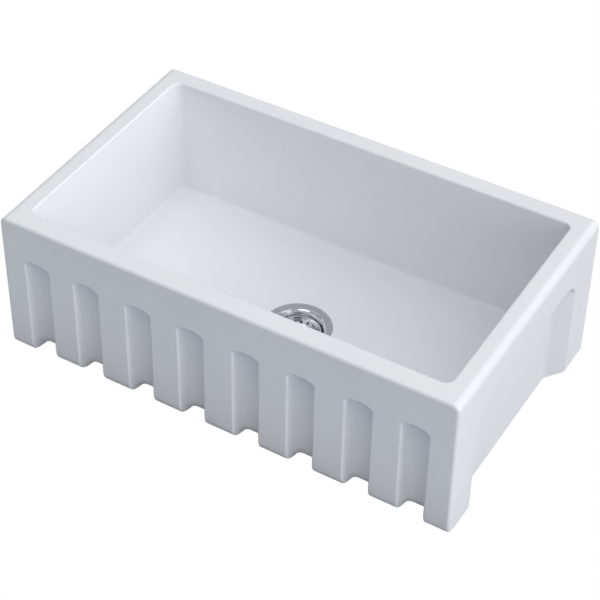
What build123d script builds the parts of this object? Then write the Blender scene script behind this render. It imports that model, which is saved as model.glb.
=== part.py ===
from build123d import *
import math
import os

os.makedirs("parts", exist_ok=True)

# ---------------------------------------------------------------------------
# Driving dimensions, millimetres. X runs along the apron front, Y to the back,
# Z up. The origin is on the base plane, under the axis of the drain.
# ---------------------------------------------------------------------------
# outer body of the basin
W = 762.0            # width, 30 in
D = 457.2            # depth, front to back, 18 in
H = 254.0            # height, 10 in
R_SIDE_TOP = 12.0    # soft roll on the left and right top edges
R_EDGE = 4.5         # front and back outline, upright corners
R_BASE = 1.0         # edges of the base
R_BOTTOM = 22.0      # roll under the lands of the apron front
R_POST = 16.0        # tighter roll under its two end posts
A_BOTTOM = 76.0      # how far these rolls turn, degrees

# bowl
BOWL_X = 348.5       # half width of the bowl at the rim
BOWL_Y0 = -194.5     # inner front edge at the rim
BOWL_Y1 = 198.0      # inner back edge at the rim
BOWL_R = 13.0        # upright corners of the bowl
DRAFT = 0.8          # wall draft, degrees
FLOOR_Z = 38.0       # floor at the drain, so the bowl is 216 mm (8.5 in) deep
FLOOR_FALL = 2.5     # fall of the floor to the drain
DISH_R = 165.0       # reach of the shallow dish round the drain
R_FLOOR = 8.0        # fillet between walls and floor
R_RIM = 3.2          # inner edge of the rim

# flutes of the apron front
FLUTE_XS = (46.7, 137.6, 230.2, 319.0)   # and the same to the left
FLUTE_W = 21.1       # half width between the sharp edges
FLUTE_BACK_W = 17.6  # half width at the back, before its corners are rounded
FLUTE_DEPTH = 21.8
FLUTE_CORNER = 11.0  # round between side wall and back
FLUTE_SHOULDER = 177.0
FLUTE_APEX = 186.5
R_FLUTE_EDGE = 3.5

# recessed panels of the left and right sides
NICHE_DEPTH = 22.0
NICHE_IN = 132.3     # half length of the flat panel, to the sharp corners
NICHE_OUT = 162.3    # half length at the face
NICHE_COVE = 22.0    # round between the panel and its slanted ends
NICHE_TOP = 190.0
NICHE_TOP_FLAT = 110.0
NICHE_TOP_END = 168.0
R_NICHE_TOP = 12.0   # inner round under the top
R_NICHE_EDGE = 2.5

# underside
FOOT_IN_X = 318.0    # half width of the hollow inside the foot ring
FOOT_IN_Y = 176.0
FOOT_H = 16.0        # height of the foot ring

# drain hole and the seat of the flange
HOLE_R = 44.45       # 3.5 in hole
SEAT_R = 55.0
SEAT_DEPTH = 2.0

# strainer
FLANGE_R = 54.0
FLANGE_T = 1.2
PUTTY_T = 1.2
CUP_R = 39.2         # inside of the cup
THREAD_R = 42.8      # outside of the thread on the cup
THREAD_ROOT_R = 42.0
CUP_FLOOR_Z = -2.0   # inside floor of the cup
CUP_FLOOR_T = 2.6
OUTLET_R = 19.0      # waste way through the outlet
SPUD_R = 22.6        # outside of the outlet thread
SPUD_Z = -33.0       # end of the outlet
CROSS_R = 6.0        # hub of the cross in the outlet
CROSS_HOLE_R = 4.2
CROSS_W = 3.4        # width of its four arms
CROSS_Z0, CROSS_Z1 = -14.0, -9.0

# clamp stack under the floor
GASKET_T = 3.0
FRICTION_T = 1.0
LOCKNUT_H = 11.0

# tail
TAIL_R = 19.05       # 1.5 in tube
TAIL_T = 0.9
TAIL_Z = -142.0
TAIL_FLANGE_R = 22.2
TAIL_NECK = 0.25     # the tube is this much thinner inside the nut
TAIL_STEP_Z = -43.0  # where it takes its full size
COUPLING_R = 27.5

# basket
RIM_Z = 28.4         # top of the basket's rolled rim
RIM_R = 37.7         # outermost radius of the rim
WALL_TOP_R = 35.6    # inside of the wall under the rim
WALL_LOW_R = 32.0    # inside of the wall at its foot
WALL_LOW_Z = 16.5
HUB_Z = 7.0          # top of the basket's flat centre
HUB_FLAT_R = 13.0
SHEET = 0.8          # sheet thickness of the basket
WALL_HOLES = 20
WALL_HOLE_R = 1.9


def save(shape, name):
    """One sub-part, named after its node."""
    shape.label = name
    export_step(shape, f"parts/{name}.step")


def cylinder(r, z0, z1):
    return Pos(0, 0, (z0 + z1) / 2) * Cylinder(r, abs(z1 - z0))


def ring(r_in, r_out, z0, z1):
    return cylinder(r_out, z0, z1) - Pos(0, 0, (z0 + z1) / 2) * Cylinder(
        r_in, abs(z1 - z0) + 1
    )


def turned(points):
    """A turned piece from its half section in (radius, height)."""
    outline = Polyline(*[(r, 0, z) for r, z in points], close=True)
    return revolve(make_face(outline), Axis.Z)


def near(value, target, tol=0.05):
    return abs(value - target) <= tol


# ---------------------------------------------------------------------------
# Profile of the apron front, as the shift in Y at each height: upright, then
# a roll, then a short straight run under the base.
# ---------------------------------------------------------------------------
A = math.radians(A_BOTTOM)
ROLL_Z = R_BOTTOM * math.sin(A)                # height where the roll of the lands starts
ROLL_Y = R_BOTTOM * (1 - math.cos(A))          # shift where it meets the base
LIP = 60.0                                     # straight run beyond the base, trimmed off at the end
RUN = LIP + 15.0
RUN_Y = ROLL_Y + RUN * math.sin(A)
RUN_Z = -RUN * math.cos(A)


def roll_waste(r, half):
    """What lies outside a roll of radius r under the front and outside the lip that goes on from it, over a half width."""
    y0 = -D / 2
    z1 = r * math.sin(A)
    y1 = y0 + r * (1 - math.cos(A))
    y2, z2 = y1 + LIP * math.sin(A), -LIP * math.cos(A)
    y3 = y2 - z2 / math.tan(A)
    with BuildSketch(Plane.YZ) as waste:
        with BuildLine():
            Polyline(
                (y0, z1),
                (y0 - 30, z1),
                (y0 - 30, -60),
                (D / 2 + 30, -60),
                (D / 2 + 30, 0),
                (y3, 0),
                (y2, z2),
                (y1, 0),
            )
            ThreePointArc(
                (y1, 0),
                (y0 + r * (1 - math.cos(A / 2)), z1 - r * math.sin(A / 2)),
                (y0, z1),
            )
        make_face()
    return extrude(waste.sketch, half, both=True)


def roll_path(top):
    """The front's profile as a path that starts at height top, in the YZ plane at x = 0."""
    mid = A / 2
    a = Line((0, 0, top), (0, 0, ROLL_Z))
    b = ThreePointArc(
        (0, 0, ROLL_Z),
        (0, R_BOTTOM * (1 - math.cos(mid)), ROLL_Z - R_BOTTOM * math.sin(mid)),
        (0, ROLL_Y, 0),
    )
    c = Line((0, ROLL_Y, 0), (0, RUN_Y, RUN_Z))
    return Wire([a, b, c])


# ---------------------------------------------------------------------------
# Basin
# ---------------------------------------------------------------------------
def outer_body():
    """The outside with its top and front edges rounded, still with the lip under the base."""
    low = -40.0
    body = Pos(0, 0, (H + low) / 2) * Box(W, D, H - low)
    tops = [
        e
        for e in body.edges()
        if near(e.center().Z, H) and near(abs(e.center().X), W / 2)
    ]
    body = fillet(tops, R_SIDE_TOP)
    body -= roll_waste(R_POST, W)
    # the outlines of the front and the back with the upright corners
    edges = []
    for e in body.edges():
        c = e.center()
        if near(abs(c.X), W / 2) and c.Z < H - R_SIDE_TOP - 1:
            if on_front(e) or near(c.Y, D / 2):
                edges.append(e)                # uprights and the ends of the roll
        elif c.Z > H - R_SIDE_TOP and near(abs(c.Y), D / 2):
            edges.append(e)                    # top outline of front and back
    body = fillet(edges, R_EDGE)
    # the lands between the end posts have the larger roll
    return body - roll_waste(R_BOTTOM, FLUTE_XS[-1])


def bowl():
    """The hollow of the bowl, to be taken out of the body."""
    cx = 0.0
    cy = (BOWL_Y0 + BOWL_Y1) / 2
    lx = 2 * BOWL_X
    ly = BOWL_Y1 - BOWL_Y0
    up = 40.0
    grow = up * math.tan(math.radians(DRAFT))
    section = Pos(cx, cy, H + up) * RectangleRounded(
        lx + 2 * grow, ly + 2 * grow, BOWL_R + grow
    )
    hollow = extrude(section, -(H + up - FLOOR_Z - FLOOR_FALL), taper=DRAFT)
    low = [e for e in hollow.edges() if near(e.center().Z, FLOOR_Z + FLOOR_FALL)]
    hollow = fillet(low, R_FLOOR)
    # the middle of the floor is a shallow dish that falls to the drain: two arcs, one hollow, one crowned
    r1 = DISH_R / 2
    h1 = FLOOR_FALL / 2
    big = (r1**2 + h1**2) / (2 * h1)
    a1 = math.asin(r1 / big)
    a2 = 0.12 * a1                             # what is left of the slope where the dish ends
    z_mid = FLOOR_Z + h1
    r_end = r1 + big * (math.sin(a1) - math.sin(a2))
    z_end = z_mid + big * (math.cos(a2) - math.cos(a1))
    am = (a1 + a2) / 2
    with BuildSketch(Plane.XZ) as lens:
        with BuildLine():
            ThreePointArc(
                (0, FLOOR_Z),
                (big * math.sin(a1 / 2), FLOOR_Z + big * (1 - math.cos(a1 / 2))),
                (r1, z_mid),
            )
            ThreePointArc(
                (r1, z_mid),
                (
                    r1 + big * (math.sin(a1) - math.sin(am)),
                    z_mid + big * (math.cos(am) - math.cos(a1)),
                ),
                (r_end, z_end),
            )
            lift = FLOOR_Z + FLOOR_FALL - z_end + 0.02
            Line((r_end, z_end), (r_end + lift / math.tan(a2), z_end + lift))
            Polyline(
                (r_end + lift / math.tan(a2), z_end + lift),
                (r_end, FLOOR_Z + 30),
                (0, FLOOR_Z + 30),
                (0, FLOOR_Z),
            )
        make_face()
    return hollow + revolve(lens.sketch, Axis.Z)


def flute_cutter():
    """One flute: a channel with slightly sloped walls and round inner corners, whose section stays parallel to itself as it follows the front's profile, under an arched top."""
    w, b, d = FLUTE_W, FLUTE_BACK_W, FLUTE_DEPTH
    zs, rise, y0 = FLUTE_SHOULDER, FLUTE_APEX - FLUTE_SHOULDER, -D / 2
    top = FLUTE_APEX + 25
    slope = (w - b) / d
    with BuildSketch(Plane.XY.offset(top)) as s:
        with BuildLine():
            Polyline(
                (-w - 30 * slope, y0 - 30),
                (-b, y0 + d),
                (b, y0 + d),
                (w + 30 * slope, y0 - 30),
                close=True,
            )
        make_face()
        fillet([v for v in s.vertices() if v.Y > y0 + d - 1], FLUTE_CORNER)
    channel = Solid.sweep(s.sketch.faces()[0], roll_path(top), mode=Vector(0, 0, 1))
    with BuildSketch(Plane.XZ) as t:
        with BuildLine():
            Polyline((-w - 3, zs), (-w - 3, -80), (w + 3, -80), (w + 3, zs))
            Line((w + 3, zs), (w, zs))
            EllipticalCenterArc((0, zs), w, rise, start_angle=0, arc_size=180)
            Line((-w, zs), (-w - 3, zs))
        make_face()
    arch = Pos(0, y0 + 100, 0) * extrude(t.sketch, 200)
    return channel & arch


def roll_shift(z, r):
    """How far back the front surface is at height z, over a roll of radius r."""
    start = r * math.sin(A)
    if z >= start:
        return 0.0
    if z < 0:
        return r * (1 - math.cos(A)) - z * math.tan(A)
    return r - math.sqrt(max(r**2 - (start - z) ** 2, 0))


def on_front(e):
    """Whether an edge lies in the front surface, either roll included."""
    return any(
        all(abs((e @ t).Y + D / 2 - roll_shift((e @ t).Z, r)) <= 0.06 for t in (0.1, 0.5, 0.9))
        for r in (R_BOTTOM, R_POST)
    )


def niche_cutter():
    """The recess of one side, on +X: a flat panel with coves at both ends, under a top that falls away at its corners."""
    x0 = W / 2
    y_end = NICHE_OUT
    run_out = (NICHE_OUT - NICHE_IN) / NICHE_DEPTH
    xe = x0 + 8.0
    ye = NICHE_OUT + 8.0 * run_out
    with BuildSketch(Plane.XY.offset(-20)) as s:
        with BuildLine():
            Polyline(
                (x0 - NICHE_DEPTH, -NICHE_IN),
                (x0 - NICHE_DEPTH, NICHE_IN),
                (xe, ye),
                (xe, -ye),
                close=True,
            )
        make_face()
        fillet([v for v in s.vertices() if v.X < x0], NICHE_COVE)
    plan = extrude(s.sketch, NICHE_TOP + 60)
    # elevation: straight top, falling in an arc to the ends
    drop = NICHE_TOP - NICHE_TOP_END
    run = y_end - NICHE_TOP_FLAT
    big = (run**2 + drop**2) / (2 * drop)
    a_end = math.asin(run / big)
    mx = NICHE_TOP_FLAT + big * math.sin(a_end / 2)
    mz = NICHE_TOP - big * (1 - math.cos(a_end / 2))
    # beyond the end the arc goes on, so it also crosses the edge round
    a_ex = min(a_end + 0.10, math.radians(88))
    ex = NICHE_TOP_FLAT + big * math.sin(a_ex)
    ez = NICHE_TOP - big * (1 - math.cos(a_ex))
    with BuildSketch(Plane.YZ.offset(x0 - 60)) as t:
        with BuildLine():
            Line((-NICHE_TOP_FLAT, NICHE_TOP), (NICHE_TOP_FLAT, NICHE_TOP))
            ThreePointArc((NICHE_TOP_FLAT, NICHE_TOP), (mx, mz), (ex, ez))
            Polyline((ex, ez), (ex, -30), (-ex, -30), (-ex, ez))
            ThreePointArc((-ex, ez), (-mx, mz), (-NICHE_TOP_FLAT, NICHE_TOP))
        make_face()
    niche = plan & extrude(t.sketch, 100)
    # round the inner corner between the panel with its coves and the top
    inner = []
    for e in niche.edges():
        heights = [(e @ u).Z for u in (0.05, 0.5, 0.95)]
        way = (e @ 1) - (e @ 0)
        across = abs(way.Y) < 0.1 and abs(way.Z) < 0.1
        if min(heights) > 150 and e.length > 8 and not across:
            if not near(e.center().X, xe, 0.02):
                inner.append(e)
    return fillet(inner, R_NICHE_TOP)


def underside_cutter():
    section = Pos(0, 0, -1) * RectangleRounded(2 * FOOT_IN_X, 2 * FOOT_IN_Y, 30)
    hollow = extrude(section, FOOT_H + 1, taper=6)
    top = [e for e in hollow.edges() if e.center().Z > FOOT_H - 0.5]
    return fillet(top, 5)


def basin():
    x0 = W / 2
    body = outer_body()
    body -= bowl()
    rim = [
        e
        for e in body.edges()
        if near(e.center().Z, H)
        and abs(e.center().X) < BOWL_X + 1
        and BOWL_Y0 - 1 < e.center().Y < BOWL_Y1 + 1
    ]
    body = fillet(rim, R_RIM)
    # flutes of the apron front, with rounded edges
    cutter = flute_cutter()
    xs = [-x for x in reversed(FLUTE_XS)] + list(FLUTE_XS)
    for x in xs:
        body -= Pos(x, 0, 0) * cutter
    edges = []
    for e in body.edges():
        c = e.center()
        if e.length > 2 and c.Z < FLUTE_APEX + 1 and on_front(e):
            if min(abs(c.X - x) for x in xs) < FLUTE_W + 1 and abs(c.X) < x0 - 20:
                edges.append(e)
    body = fillet(edges, R_FLUTE_EDGE)
    # recessed side panels, with rounded edges; two skirts carry their ends beyond the base
    for side in (-1, 1):
        body += Pos(side * (x0 - 15), 0, -5) * Box(30, 2 * NICHE_OUT + 40, 10)
    niche = niche_cutter()
    body -= niche
    body -= mirror(niche, Plane.YZ)
    edges = []
    for e in body.edges():
        c = e.center()
        flush = all(near(abs((e @ t).X), x0, 0.03) for t in (0.1, 0.5, 0.9))
        if flush and -9.9 < c.Z < NICHE_TOP + 1 and abs(c.Y) < NICHE_OUT + 8 and e.length > 3:
            if not (near((e @ 0).Z, -10, 0.1) and near((e @ 1).Z, -10, 0.1)):
                edges.append(e)
    body = fillet(edges, R_NICHE_EDGE)
    # lip and skirts go, then the edges of the base are rounded, but not those of the roll and the flutes
    body -= Pos(0, 0, -50) * Box(W + 50, D + 50, 100)
    base = [
        e
        for e in body.edges()
        if near(e.center().Z, 0, 0.02)
        and (abs(e.center().X) > x0 - NICHE_DEPTH - 1 or near(e.center().Y, D / 2, 0.3))
    ]
    body = fillet(base, R_BASE)
    # hollow inside the foot ring
    body -= underside_cutter()
    # drain hole, with the shallow seat of the flange
    body -= cylinder(HOLE_R, -5, FLOOR_Z + 20)
    body -= cylinder(SEAT_R, FLOOR_Z - SEAT_DEPTH, FLOOR_Z + 20)
    lip = [
        e
        for e in body.edges()
        if near((e @ 0).Z, FLOOR_Z, 0.6)
        and near(math.hypot((e @ 0).X, (e @ 0).Y), SEAT_R, 0.02)
    ]
    return fillet(lip, 0.8)


# ---------------------------------------------------------------------------
# Strainer: flange, threaded cup and threaded outlet in one casting
# ---------------------------------------------------------------------------
FLANGE_Z = FLOOR_Z - SEAT_DEPTH + PUTTY_T      # underside of the flange


def ridges(root, crest, z_low, z_high, pitch):
    """Half section of a rolled thread, bottom to top."""
    points = []
    n = int((z_high - z_low) / pitch)
    for i in range(n):
        z = z_low + i * pitch
        points += [
            (root, z),
            (crest, z + 0.35 * pitch),
            (crest, z + 0.55 * pitch),
            (root, z + 0.9 * pitch),
        ]
    return points


def strainer():
    f = FLANGE_Z
    top = f + FLANGE_T
    section = [
        # top of the flange, from its edge inwards: flat ring, two steps, then the dished way into the cup
        (FLANGE_R, f),
        (FLANGE_R, top - 0.35),
        (FLANGE_R - 0.35, top),
        (45.6, top - 0.15),
        (45.3, top - 0.95),
        (43.6, top - 1.5),
        (43.3, top - 2.3),
        (42.0, top - 3.4),
        (41.7, top - 4.3),
        (40.7, top - 5.6),
        (40.4, top - 6.7),
        (39.6, top - 9.2),
        (CUP_R, top - 10.6),
        (CUP_R, 8.0),
        (CUP_R - 0.8, 4.4),
        (CUP_R - 3.0, 1.2),
        (CUP_R - 6.2, -1.0),
        (CUP_R - 10.0, CUP_FLOOR_Z),
        (OUTLET_R + 0.8, CUP_FLOOR_Z),
        (OUTLET_R, CUP_FLOOR_Z - 0.8),
        (OUTLET_R, SPUD_Z),
    ]
    section += ridges(SPUD_R - 0.6, SPUD_R, SPUD_Z + 0.8, -14.0, 2.1)
    section += [
        (SPUD_R - 0.6, -10.0),
        (SPUD_R - 0.6, CUP_FLOOR_Z - CUP_FLOOR_T),
        (CUP_R - 9.0, CUP_FLOOR_Z - CUP_FLOOR_T),
        (CUP_R - 4.0, CUP_FLOOR_Z - 1.6),
        (CUP_R + 0.6, CUP_FLOOR_Z + 1.6),
    ]
    section += ridges(THREAD_ROOT_R, THREAD_R, 0.6, 31.0, 2.1)
    section += [
        (THREAD_ROOT_R, 31.0),
        (THREAD_R, 33.0),
        (44.0, f - 0.6),
        (44.5, f),
    ]
    body = turned(section)
    # cross in the outlet, with a hub that guides the basket's post
    z0, z1 = CROSS_Z0, CROSS_Z1
    mid = Pos(0, 0, (z0 + z1) / 2)
    cross = cylinder(CROSS_R, z0, z1)
    for turn in (45, 135):
        cross += mid * Rot(0, 0, turn) * Box(2 * OUTLET_R + 1.5, CROSS_W, z1 - z0)
    cross -= cylinder(CROSS_HOLE_R, z0 - 1, z1 + 1)
    return body + cross


def putty():
    f = FLANGE_Z
    return turned(
        [
            (44.7, FLOOR_Z - SEAT_DEPTH),
            (SEAT_R - 0.05, FLOOR_Z - SEAT_DEPTH),
            (SEAT_R - 0.05, f + 1.0),
            (FLANGE_R + 0.05, f + 0.7),
            (FLANGE_R + 0.05, f),
            (44.7, f),
        ]
    )


# ---------------------------------------------------------------------------
# Clamp stack under the floor
# ---------------------------------------------------------------------------
Z_GASKET = FOOT_H - GASKET_T
Z_FRICTION = Z_GASKET - FRICTION_T
Z_NUT = Z_FRICTION - LOCKNUT_H


def locknut():
    body = ring(THREAD_R + 0.05, 49.5, Z_NUT, Z_FRICTION)
    body += ring(THREAD_R + 0.05, 53.5, Z_FRICTION - 3.0, Z_FRICTION)
    high = Z_FRICTION - 2.5 - Z_NUT
    rib = Box(9.0, 8.0, high)
    rib = fillet(rib.edges().filter_by(Axis.Z), 1.5)
    rib = Pos(49.8, 0, Z_NUT + high / 2) * rib
    for i in range(6):
        body += Rot(0, 0, 60 * i + 30) * rib
    return body


# ---------------------------------------------------------------------------
# Tail
# ---------------------------------------------------------------------------
Z_WASHER = SPUD_Z - 2.0
Z_TAIL = Z_WASHER - 1.2


def coupling_nut():
    low, high = Z_TAIL - 4.5, -19.0
    mid = Pos(0, 0, (low + high) / 2)
    blank = mid * extrude(RegularPolygon(COUPLING_R, 6, major_radius=False), (high - low) / 2, both=True)
    blank = blank & cylinder(COUPLING_R + 2.4, low - 1, high + 1)
    blank += ring(TAIL_R + 1, COUPLING_R + 0.9, high - 0.01, high + 2.5)
    blank -= cylinder(SPUD_R + 0.05, Z_TAIL, high + 5)
    blank -= cylinder(TAIL_R + 0.25, low - 1, high + 5)
    return blank


def tailpiece():
    return turned(
        [
            (TAIL_R - TAIL_T, Z_WASHER),
            (TAIL_FLANGE_R, Z_WASHER),
            (TAIL_FLANGE_R, Z_TAIL),
            (TAIL_R - TAIL_NECK, Z_TAIL),
            (TAIL_R - TAIL_NECK, TAIL_STEP_Z),
            (TAIL_R, TAIL_STEP_Z),
            (TAIL_R, TAIL_Z),
            (TAIL_R - TAIL_T, TAIL_Z),
        ]
    )


# ---------------------------------------------------------------------------
# Basket
# ---------------------------------------------------------------------------
POST_R = 3.0
Z_HUB = HUB_Z - SHEET                          # underside of the basket's centre


def basket_cup():
    t = SHEET
    section = [
        (POST_R + 0.05, Z_HUB),
        (HUB_FLAT_R + 0.3, Z_HUB),
        (HUB_FLAT_R + 2.1, Z_HUB + 0.5),
        (WALL_LOW_R - 1.2, WALL_LOW_Z - 2.6),
        (WALL_LOW_R + 0.4, WALL_LOW_Z - 1.3),
        (WALL_LOW_R + t + 0.1, WALL_LOW_Z + 0.2),
        (WALL_TOP_R + 0.7, RIM_Z - 2.0),
        (RIM_R - 0.5, RIM_Z - 2.0),
        (RIM_R, RIM_Z - 1.5),
        (RIM_R, RIM_Z - 0.8),
        (RIM_R - 0.4, RIM_Z - 0.2),
        (RIM_R - 1.0, RIM_Z),
        (RIM_R - 1.6, RIM_Z - 0.2),
        (WALL_TOP_R, RIM_Z - 0.9),
        (WALL_LOW_R, WALL_LOW_Z),
        (WALL_LOW_R - 0.5, WALL_LOW_Z - 1.2),
        (WALL_LOW_R - 1.7, WALL_LOW_Z - 2.0),
        (HUB_FLAT_R + 2.0, HUB_Z + 0.5),
        (HUB_FLAT_R, HUB_Z),
        (POST_R + 0.05, HUB_Z),
    ]
    cup = turned(section)
    z_row = 19.0
    wall = Pos(34.5, 0, z_row) * Rot(0, 90, 0) * Cylinder(WALL_HOLE_R, 8)
    holes = [Rot(0, 0, 2 + 360 / WALL_HOLES * i) * wall for i in range(WALL_HOLES)]
    for radius, count, size, phase in ((27.0, 18, 1.9, 10), (21.8, 14, 1.9, 0), (17.0, 10, 1.7, 6)):
        drop = Pos(radius, 0, 11) * Cylinder(size, 14)
        holes += [Rot(0, 0, phase + 360 / count * i) * drop for i in range(count)]
    return cup - holes


def stopper():
    return turned(
        [
            (POST_R + 0.05, CUP_FLOOR_Z),
            (21.6, CUP_FLOOR_Z),
            (22.6, CUP_FLOOR_Z + 0.8),
            (24.4, CUP_FLOOR_Z + 4.6),
            (24.0, CUP_FLOOR_Z + 5.4),
            (13.0, CUP_FLOOR_Z + 5.6),
            (12.4, Z_HUB),
            (POST_R + 0.05, Z_HUB),
        ]
    )


Z_SW = CUP_FLOOR_Z - 1.2                       # underside of the stopper's washer
Z_PN = Z_SW - 3.2                              # underside of the post's nut


def post():
    return turned(
        [
            (0, -23.0),
            (2.2, -23.0),
            (POST_R, -22.0),
            (POST_R, 37.2),
            (POST_R - 0.6, 38.0),
            (0, 38.0),
        ]
    )


def knob():
    return turned(
        [
            (POST_R + 0.05, HUB_Z),
            (7.6, HUB_Z),
            (7.6, HUB_Z + 0.8),
            (5.0, HUB_Z + 1.8),
            (4.3, HUB_Z + 4.0),
            (4.1, 34.0),
            (4.6, 36.6),
            (5.7, 39.0),
            (6.2, 41.2),
            (6.1, 43.2),
            (5.4, 44.8),
            (4.0, 45.8),
            (2.0, 46.3),
            (0, 46.4),
            (0, 38.05),
            (POST_R + 0.05, 38.05),
        ]
    )


def post_nut():
    hexagon = extrude(RegularPolygon(5.0, 6, major_radius=False), Z_SW - Z_PN)
    body = Pos(0, 0, Z_PN) * hexagon
    return body - cylinder(POST_R + 0.05, Z_PN - 1, Z_SW + 1)


def spring_clip():
    body = turned(
        [
            (POST_R + 0.05, -21.8),
            (POST_R + 0.45, -21.8),
            (POST_R + 0.5, -20.6),
            (4.0, -19.2),
            (4.0, -18.4),
            (POST_R + 0.5, -16.4),
            (POST_R + 0.45, -15.4),
            (POST_R + 0.05, -15.4),
            (POST_R + 0.1, -16.6),
            (3.6, -18.5),
            (3.6, -19.1),
            (POST_R + 0.1, -20.4),
        ]
    )
    slot = Pos(0, 0, -18.6) * Box(12, 2.6, 3.8)
    return body - slot


# ---------------------------------------------------------------------------
parts = {
    "sink_basin": basin(),
    "strainer_body": strainer(),
    "flange_putty": putty(),
    "rubber_gasket": ring(43.2, 55.0, Z_GASKET, FOOT_H),
    "friction_ring": ring(43.2, 54.0, Z_FRICTION, Z_GASKET),
    "locknut": locknut(),
    "tailpiece_washer": ring(TAIL_R - TAIL_T, TAIL_FLANGE_R, Z_WASHER, SPUD_Z),
    "coupling_nut": coupling_nut(),
    "tailpiece": tailpiece(),
    "basket_cup": basket_cup(),
    "basket_post": post(),
    "basket_knob": knob(),
    "stopper_seal": stopper(),
    "stopper_washer": ring(POST_R + 0.05, 12.0, Z_SW, CUP_FLOOR_Z),
    "post_nut": post_nut(),
    "spring_clip": spring_clip(),
}
for node, shape in parts.items():
    save(shape, node)
    print(node, round(shape.volume), shape.is_valid)
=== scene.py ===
import bpy
import math
from mathutils import Matrix, Vector


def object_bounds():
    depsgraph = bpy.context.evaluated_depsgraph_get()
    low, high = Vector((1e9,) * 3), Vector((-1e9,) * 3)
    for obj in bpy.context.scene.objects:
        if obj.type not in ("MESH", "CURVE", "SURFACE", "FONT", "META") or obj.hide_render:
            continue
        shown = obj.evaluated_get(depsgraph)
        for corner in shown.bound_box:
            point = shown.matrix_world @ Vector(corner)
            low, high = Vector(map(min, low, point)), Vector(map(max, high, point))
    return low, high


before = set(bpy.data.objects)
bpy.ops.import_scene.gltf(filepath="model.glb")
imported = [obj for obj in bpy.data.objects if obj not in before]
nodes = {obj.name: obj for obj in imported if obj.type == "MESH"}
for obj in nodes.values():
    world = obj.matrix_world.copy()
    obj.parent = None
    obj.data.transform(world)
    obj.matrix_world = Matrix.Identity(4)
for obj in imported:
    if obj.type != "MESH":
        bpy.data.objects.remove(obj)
cad_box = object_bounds()
scene = bpy.context.scene

# ---------------------------------------------------------------------------
# Camera: fitted to the box edges of the sink, in pixels of a 600 x 600 frame
# ---------------------------------------------------------------------------
AZ, EL = math.radians(31.5513), math.radians(40.2361)
FOCAL = 1871.84
CX, CY = 260.957, 249.474
back = Vector((math.sin(AZ) * math.cos(EL), -math.cos(AZ) * math.cos(EL), math.sin(EL)))
right = Vector((math.cos(AZ), math.sin(AZ), 0.0))
up = back.cross(right)
cam_data = bpy.data.cameras.new("camera")
cam = bpy.data.objects.new("camera", cam_data)
scene.collection.objects.link(cam)
cam.matrix_world = Matrix.Translation((1.07057, -1.8524, 2.00484)) @ Matrix(
    (right, up, back)
).transposed().to_4x4()
cam_data.sensor_fit = "HORIZONTAL"
cam_data.sensor_width = 36.0
cam_data.lens = FOCAL * 36.0 / 600.0
cam_data.shift_x = (300.0 - CX) / 600.0
cam_data.shift_y = (CY - 300.0) / 600.0
cam_data.clip_start = 0.05
cam_data.clip_end = 60.0
scene.camera = cam

scene.view_settings.view_transform = "Standard"
scene.view_settings.look = "None"
scene.view_settings.exposure = 0.0
scene.view_settings.gamma = 1.0


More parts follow.
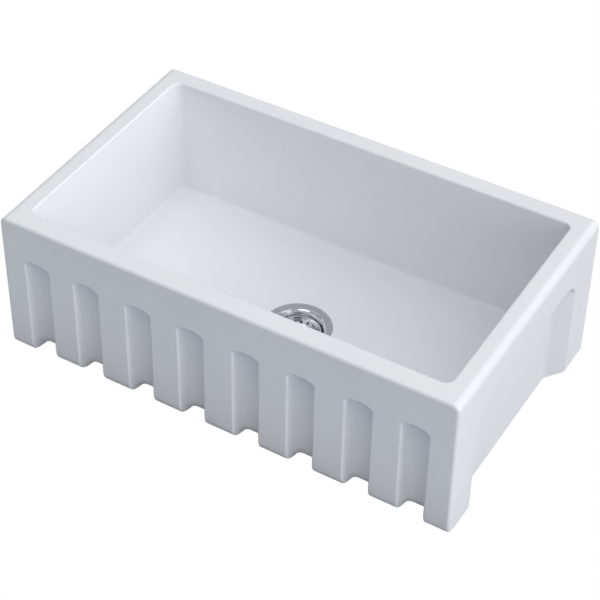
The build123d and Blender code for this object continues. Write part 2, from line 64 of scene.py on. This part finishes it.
# ---------------------------------------------------------------------------
# Small helpers for node trees
# ---------------------------------------------------------------------------
class Tree:
    """A material with a Principled shader and short calls for the nodes in front of it."""

    def __init__(self, name, **inputs):
        self.mat = bpy.data.materials.new(name)
        self.mat.use_nodes = True
        self.nt = self.mat.node_tree
        self.out = self.nt.nodes["Material Output"]
        self.bsdf = self.nt.nodes["Principled BSDF"]
        for key, value in inputs.items():
            self.bsdf.inputs[key.replace("_", " ")].default_value = value

    def node(self, kind, **props):
        n = self.nt.nodes.new(kind)
        for key, value in props.items():
            setattr(n, key, value)
        return n

    def link(self, a, b):
        self.nt.links.new(a, b)

    def coords(self):
        return self.node("ShaderNodeTexCoord").outputs["Object"]

    def scaled(self, vector, scale, location=(0, 0, 0), rotation=(0, 0, 0)):
        m = self.node("ShaderNodeMapping")
        m.inputs["Scale"].default_value = scale
        m.inputs["Location"].default_value = location
        m.inputs["Rotation"].default_value = rotation
        self.link(vector, m.inputs["Vector"])
        return m.outputs["Vector"]

    def noise(self, vector, scale, detail=3.0, rough=0.5, distort=0.0):
        n = self.node("ShaderNodeTexNoise")
        n.inputs["Scale"].default_value = scale
        n.inputs["Detail"].default_value = detail
        n.inputs["Roughness"].default_value = rough
        n.inputs["Distortion"].default_value = distort
        self.link(vector, n.inputs["Vector"])
        return n.outputs["Fac"]

    def span(self, value, low, high, to_low, to_high, smooth=False):
        n = self.node("ShaderNodeMapRange")
        if smooth:
            n.interpolation_type = "SMOOTHSTEP"
        n.inputs["From Min"].default_value = low
        n.inputs["From Max"].default_value = high
        n.inputs["To Min"].default_value = to_low
        n.inputs["To Max"].default_value = to_high
        self.link(value, n.inputs["Value"])
        return n.outputs["Result"]

    def math(self, op, a, b=None, c=None):
        n = self.node("ShaderNodeMath", operation=op)
        for socket, v in zip(n.inputs, (a, b, c)):
            if v is None:
                continue
            if isinstance(v, (int, float)):
                socket.default_value = v
            else:
                self.link(v, socket)
        return n.outputs["Value"]

    def mix(self, fac, a, b):
        n = self.node("ShaderNodeMix", data_type="RGBA")
        for socket, v in ((n.inputs["Factor"], fac), (n.inputs[6], a), (n.inputs[7], b)):
            if isinstance(v, (int, float)):
                socket.default_value = v
            elif isinstance(v, tuple):
                socket.default_value = (*v, 1.0)
            else:
                self.link(v, socket)
        return n.outputs[2]

    def bump(self, height, distance, strength=1.0, normal=None):
        n = self.node("ShaderNodeBump")
        n.inputs["Strength"].default_value = strength
        n.inputs["Distance"].default_value = distance
        self.link(height, n.inputs["Height"])
        if normal is not None:
            self.link(normal, n.inputs["Normal"])
        return n.outputs["Normal"]

    def axis(self, vector, name):
        n = self.node("ShaderNodeSeparateXYZ")
        self.link(vector, n.inputs["Vector"])
        return n.outputs[name]

    def radius(self, vector):
        """Distance from the Z axis, through X and Y."""
        s = self.node("ShaderNodeSeparateXYZ")
        self.link(vector, s.inputs["Vector"])
        xx = self.math("MULTIPLY", s.outputs["X"], s.outputs["X"])
        yy = self.math("MULTIPLY", s.outputs["Y"], s.outputs["Y"])
        return self.math("SQRT", self.math("ADD", xx, yy))

    def to(self, name, output):
        self.link(output, self.bsdf.inputs[name])


# ---------------------------------------------------------------------------
# Glazed fireclay: a thick white glaze that pools a little unevenly, over a buff
# body that stays bare under the foot
# ---------------------------------------------------------------------------
def glazed_fireclay():
    t = Tree("glazed_fireclay", Coat_Weight=0.28, Coat_Roughness=0.15, Coat_IOR=1.5, Specular_IOR_Level=0.35)
    p = t.coords()
    cloud = t.noise(p, 5.0, 3.0, 0.55)
    mottle = t.noise(p, 42.0, 4.0, 0.6)
    speck = t.noise(p, 900.0, 2.0, 0.5)
    tone = t.mix(t.span(cloud, 0.32, 0.68, 0.0, 1.0), (0.846, 0.853, 0.871), (0.869, 0.875, 0.891))
    tone = t.mix(t.span(mottle, 0.35, 0.7, 0.0, 0.22), tone, (0.832, 0.840, 0.859))
    tone = t.mix(t.span(speck, 0.74, 0.80, 0.0, 0.35), tone, (0.70, 0.69, 0.66))
    # bare body under the foot and in the hollow inside the foot ring
    z = t.axis(p, "Z")
    edge = t.math("ADD", t.span(t.noise(p, 60.0, 3.0), 0.3, 0.7, -0.0006, 0.0006), z)
    under = t.span(edge, 0.0004, 0.0010, 1.0, 0.0, smooth=True)
    clay = t.mix(
        t.span(t.noise(p, 520.0, 5.0, 0.7), 0.35, 0.68, 0.0, 1.0),
        (0.56, 0.50, 0.42),
        (0.70, 0.645, 0.56),
    )
    clay = t.mix(t.span(t.noise(p, 1500.0, 2.0), 0.68, 0.76, 0.0, 0.7), clay, (0.30, 0.24, 0.19))
    t.to("Base Color", t.mix(under, tone, clay))
    rough = t.span(t.noise(p, 18.0, 4.0, 0.6), 0.3, 0.7, 0.36, 0.46)
    t.to("Roughness", t.math("MAXIMUM", rough, t.math("MULTIPLY", under, 0.85)))
    # slow waves of the slip-cast wall, then the fine peel of the glaze
    wave = t.bump(t.noise(p, 7.0, 2.0, 0.4), 0.0016, 0.5)
    peel = t.bump(t.noise(p, 110.0, 3.0, 0.5), 0.00006, 0.5, wave)
    grit = t.bump(t.math("MULTIPLY", t.noise(p, 700.0, 4.0, 0.7), under), 0.0004, 0.8, peel)
    t.to("Normal", grit)
    return t.mat


def bare_metal(name, color, rough, rings=None, ring_depth=0.0, patch=0.06, aniso=0.0, brushed=None):
    """Steel, chrome or brass: turned or polished, with faint smears in the sheen."""
    t = Tree(name, Metallic=1.0)
    p = t.coords()
    smear = t.noise(p, 60.0, 4.0, 0.6)
    fine = t.noise(p, 650.0, 3.0, 0.6)
    dark = tuple(c * 0.86 for c in color)
    tone = t.mix(t.span(smear, 0.3, 0.7, 0.0, 1.0), dark, color)
    r = t.span(smear, 0.3, 0.7, rough - patch / 2, rough + patch / 2)
    if rings:
        turn = t.radius(p)
        line = t.node("ShaderNodeCombineXYZ")
        t.link(turn, line.inputs["X"])
        t.link(t.math("MULTIPLY", t.axis(p, "Z"), 1.0), line.inputs["Z"])
        lathe = t.noise(line.outputs["Vector"], rings, 3.0, 0.7)
        tone = t.mix(t.span(lathe, 0.35, 0.65, 0.0, 0.35), tone, tuple(c * 0.7 for c in color))
        r = t.math("ADD", r, t.span(lathe, 0.3, 0.7, -0.05, 0.08))
        n = t.bump(lathe, ring_depth, 0.6)
        n = t.bump(fine, 0.00001, 0.4, n)
    else:
        n = t.bump(fine, 0.00002, 0.4)
    t.to("Base Color", tone)
    t.to("Roughness", t.math("MAXIMUM", r, 0.03))
    t.to("Normal", n)
    return t.mat


def strainer_steel():
    """The strainer's casting: a satin flat ring, then polished steps into the cup, all with fine lathe lines."""
    t = Tree("strainer_steel", Metallic=1.0)
    p = t.coords()
    turn = t.radius(p)
    flat = t.span(turn, 0.0452, 0.0455, 0.0, 1.0)
    smear = t.noise(p, 70.0, 4.0, 0.6)
    line = t.node("ShaderNodeCombineXYZ")
    t.link(turn, line.inputs["X"])
    t.link(t.axis(p, "Z"), line.inputs["Z"])
    lathe = t.noise(line.outputs["Vector"], 2400.0, 3.0, 0.7)
    tone = t.mix(flat, (0.84, 0.85, 0.87), (0.60, 0.62, 0.65))
    tone = t.mix(t.span(smear, 0.35, 0.7, 0.0, 0.16), tone, (0.50, 0.51, 0.53))
    tone = t.mix(t.span(lathe, 0.35, 0.65, 0.0, 0.14), tone, (0.45, 0.46, 0.48))
    t.to("Base Color", tone)
    rough = t.math("ADD", t.span(flat, 0.0, 1.0, 0.11, 0.40), t.span(smear, 0.3, 0.7, -0.02, 0.03))
    t.to("Roughness", rough)
    n = t.bump(lathe, 0.00003, 0.5)
    t.to("Normal", t.bump(t.noise(p, 700.0, 3.0, 0.6), 0.00001, 0.4, n))
    return t.mat


def dull(name, low, high, rough, scale, depth, speckle=None):
    """Rubber, putty, fibre or soft plastic: two close tones, a matt surface and a fine grain."""
    t = Tree(name)
    p = t.coords()
    grain = t.noise(p, scale, 4.0, 0.6)
    tone = t.mix(t.span(grain, 0.3, 0.7, 0.0, 1.0), low, high)
    if speckle:
        spots = t.noise(p, scale * 3.1, 2.0, 0.5)
        tone = t.mix(t.span(spots, 0.62, 0.72, 0.0, 1.0), tone, speckle)
    t.to("Base Color", tone)
    t.to("Roughness", t.span(grain, 0.3, 0.7, rough - 0.08, rough + 0.08))
    t.to("Normal", t.bump(grain, depth, 0.7))
    return t.mat


fireclay = glazed_fireclay()
satin = strainer_steel()
bright = bare_metal("bright_stainless", (0.86, 0.87, 0.89), 0.12, rings=900.0, ring_depth=0.00002)
chrome = bare_metal("bright_chrome", (0.80, 0.81, 0.83), 0.07, patch=0.04)
brass = bare_metal("cast_brass", (0.62, 0.50, 0.30), 0.42, patch=0.16)
rubber = dull("black_rubber", (0.028, 0.028, 0.030), (0.050, 0.050, 0.053), 0.62, 260.0, 0.00004)
putty = dull("sealing_putty", (0.62, 0.61, 0.58), (0.72, 0.71, 0.68), 0.7, 180.0, 0.0001)
fibre = dull("pressed_fibre", (0.36, 0.25, 0.15), (0.52, 0.39, 0.25), 0.8, 420.0, 0.00008, (0.26, 0.17, 0.10))
poly = dull("soft_plastic", (0.78, 0.78, 0.74), (0.86, 0.86, 0.83), 0.4, 90.0, 0.00003)

finish = {
    "sink_basin": fireclay,
    "strainer_body": satin,
    "flange_putty": putty,
    "rubber_gasket": rubber,
    "friction_ring": fibre,
    "locknut": brass,
    "tailpiece_washer": poly,
    "coupling_nut": chrome,
    "tailpiece": chrome,
    "basket_cup": bright,
    "basket_post": bright,
    "basket_knob": bright,
    "stopper_seal": rubber,
    "stopper_washer": bright,
    "post_nut": bright,
    "spring_clip": bright,
}
for name, mat in finish.items():
    o = nodes[name]
    if not o.material_slots:
        o.data.materials.append(mat)
    for s in o.material_slots:
        s.material = mat

# ---------------------------------------------------------------------------
# Stage: a plain pale floor and soft studio light
# ---------------------------------------------------------------------------
FLOOR_LEVEL = cad_box[0].z - 0.004 if hasattr(cad_box[0], "z") else cad_box[0][2] - 0.004


def floor():
    mesh = bpy.data.meshes.new("stage_floor")
    s = 12.0
    mesh.from_pydata(
        [(-s, -s, FLOOR_LEVEL), (s, -s, FLOOR_LEVEL), (s, s, FLOOR_LEVEL), (-s, s, FLOOR_LEVEL)],
        [],
        [(0, 1, 2, 3)],
    )
    o = bpy.data.objects.new("stage_floor", mesh)
    scene.collection.objects.link(o)
    mat = bpy.data.materials.new("pale_floor")
    mat.use_nodes = True
    nt = mat.node_tree
    nt.nodes.clear()
    out = nt.nodes.new("ShaderNodeOutputMaterial")
    mix = nt.nodes.new("ShaderNodeMixShader")
    path = nt.nodes.new("ShaderNodeLightPath")
    seen = nt.nodes.new("ShaderNodeEmission")
    seen.inputs["Color"].default_value = (1, 1, 1, 1)
    seen.inputs["Strength"].default_value = 1.0
    lit = nt.nodes.new("ShaderNodeBsdfDiffuse")
    lit.inputs["Color"].default_value = (0.12, 0.129, 0.141, 1)
    sheen = nt.nodes.new("ShaderNodeBsdfDiffuse")
    sheen.inputs["Color"].default_value = (0.80, 0.81, 0.83, 1)
    by_gloss = nt.nodes.new("ShaderNodeMixShader")
    nt.links.new(path.outputs["Is Glossy Ray"], by_gloss.inputs[0])
    nt.links.new(lit.outputs[0], by_gloss.inputs[1])
    nt.links.new(sheen.outputs[0], by_gloss.inputs[2])
    nt.links.new(path.outputs["Is Camera Ray"], mix.inputs[0])
    nt.links.new(by_gloss.outputs[0], mix.inputs[1])
    nt.links.new(seen.outputs[0], mix.inputs[2])
    nt.links.new(mix.outputs[0], out.inputs["Surface"])
    mesh.materials.append(mat)
    return o


floor()


def reflector(x0, y0, x1, y1, z, color):
    """A pale card that lies in front of the sink; the camera and whatever is under it look through."""
    mesh = bpy.data.meshes.new("stage_reflector")
    mesh.from_pydata([(x0, y0, z), (x1, y0, z), (x1, y1, z), (x0, y1, z)], [], [(0, 1, 2, 3)])
    o = bpy.data.objects.new("stage_reflector", mesh)
    scene.collection.objects.link(o)
    mat = bpy.data.materials.new("pale_card")
    mat.use_nodes = True
    nt = mat.node_tree
    nt.nodes.clear()
    out = nt.nodes.new("ShaderNodeOutputMaterial")
    mix = nt.nodes.new("ShaderNodeMixShader")
    path = nt.nodes.new("ShaderNodeLightPath")
    side = nt.nodes.new("ShaderNodeNewGeometry")
    either = nt.nodes.new("ShaderNodeMath")
    either.operation = "MAXIMUM"
    clear = nt.nodes.new("ShaderNodeBsdfTransparent")
    lit = nt.nodes.new("ShaderNodeBsdfDiffuse")
    lit.inputs["Color"].default_value = (*color, 1)
    nt.links.new(path.outputs["Is Camera Ray"], either.inputs[0])
    nt.links.new(side.outputs["Backfacing"], either.inputs[1])
    nt.links.new(either.outputs["Value"], mix.inputs[0])
    nt.links.new(lit.outputs[0], mix.inputs[1])
    nt.links.new(clear.outputs[0], mix.inputs[2])
    nt.links.new(mix.outputs[0], out.inputs["Surface"])
    mesh.materials.append(mat)


reflector(-1.1, -1.3, 1.1, -0.285, -0.002, (0.57, 0.61, 0.67))

world = bpy.data.worlds.new("studio")
scene.world = world
world.use_nodes = True
nt = world.node_tree
nt.nodes.clear()
out = nt.nodes.new("ShaderNodeOutputWorld")
path = nt.nodes.new("ShaderNodeLightPath")
way = nt.nodes.new("ShaderNodeTexCoord")


def background(color, strength):
    n = nt.nodes.new("ShaderNodeBackground")
    n.inputs["Color"].default_value = (*color, 1)
    n.inputs["Strength"].default_value = strength
    return n


def dome(toward, strength, soft=0.35):
    """Light from the half of the sky round one direction, with a soft edge."""
    v = Vector(toward).normalized()
    dot = nt.nodes.new("ShaderNodeVectorMath")
    dot.operation = "DOT_PRODUCT"
    dot.inputs[1].default_value = v
    nt.links.new(way.outputs["Generated"], dot.inputs[0])
    ramp = nt.nodes.new("ShaderNodeMapRange")
    ramp.interpolation_type = "SMOOTHSTEP"
    ramp.inputs["From Min"].default_value = -soft
    ramp.inputs["From Max"].default_value = soft
    ramp.inputs["To Min"].default_value = 0.0
    ramp.inputs["To Max"].default_value = strength
    nt.links.new(dot.outputs["Value"], ramp.inputs["Value"])
    return ramp


def total(parts):
    value = parts[0].outputs["Result"]
    for part in parts[1:]:
        n = nt.nodes.new("ShaderNodeMath")
        n.operation = "ADD"
        nt.links.new(value, n.inputs[0])
        nt.links.new(part.outputs["Result"], n.inputs[1])
        value = n.outputs["Value"]
    return value


# what lights the surfaces: a bright half of the room to the right, a dimmer one in front
fill = background((0.95, 0.97, 1.0), 1.0)
nt.links.new(
    total(
        (
            dome((1.0, 1.0, 0.1), 0.65),
            dome((1.0, 1.0, 1.0), 0.35),
            dome((0.0, -1.0, 0.05), 0.15),
        )
    ),
    fill.inputs["Strength"],
)
seen = background((1, 1, 1), 1.0)
tent = background((0.93, 0.96, 1.0), 1.0)
# what a reflection meets: a bright tent overhead that fades to a dark room at eye level
part = nt.nodes.new("ShaderNodeSeparateXYZ")
ramp = nt.nodes.new("ShaderNodeMapRange")
ramp.interpolation_type = "SMOOTHSTEP"
ramp.inputs["From Min"].default_value = 0.15
ramp.inputs["From Max"].default_value = 0.85
ramp.inputs["To Min"].default_value = 0.04
ramp.inputs["To Max"].default_value = 0.50
nt.links.new(way.outputs["Generated"], part.inputs[0])
nt.links.new(part.outputs["Z"], ramp.inputs["Value"])
nt.links.new(ramp.outputs["Result"], tent.inputs["Strength"])
by_gloss = nt.nodes.new("ShaderNodeMixShader")
by_sight = nt.nodes.new("ShaderNodeMixShader")
nt.links.new(path.outputs["Is Glossy Ray"], by_gloss.inputs[0])
nt.links.new(fill.outputs[0], by_gloss.inputs[1])
nt.links.new(tent.outputs[0], by_gloss.inputs[2])
nt.links.new(path.outputs["Is Camera Ray"], by_sight.inputs[0])
nt.links.new(by_gloss.outputs[0], by_sight.inputs[1])
nt.links.new(seen.outputs[0], by_sight.inputs[2])
nt.links.new(by_sight.outputs[0], out.inputs["Surface"])


def softbox(name, at, aim, size, power, color=(1, 1, 1)):
    data = bpy.data.lights.new(name, "AREA")
    data.shape = "RECTANGLE"
    data.size, data.size_y = size
    data.energy = power
    data.color = color
    o = bpy.data.objects.new(name, data)
    scene.collection.objects.link(o)
    way = Vector(aim) - Vector(at)
    o.matrix_world = Matrix.Translation(at) @ way.to_track_quat("-Z", "Y").to_matrix().to_4x4()
    return o


AIM = (0, 0, 0.12)
softbox("right", (8.0, 0.3, 2.5), AIM, (4.0, 4.0), 111)
softbox("front_right", (7.0, -3.0, 2.5), AIM, (4.0, 4.0), 61)
softbox("top_right", (4.0, 0.0, 7.0), AIM, (4.0, 4.0), 30)
softbox("top_front", (0.0, -4.0, 7.0), AIM, (4.0, 4.0), 90)
softbox("left_edge", (-7.0, 4.0, 0.9), AIM, (4.0, 1.2), 28)
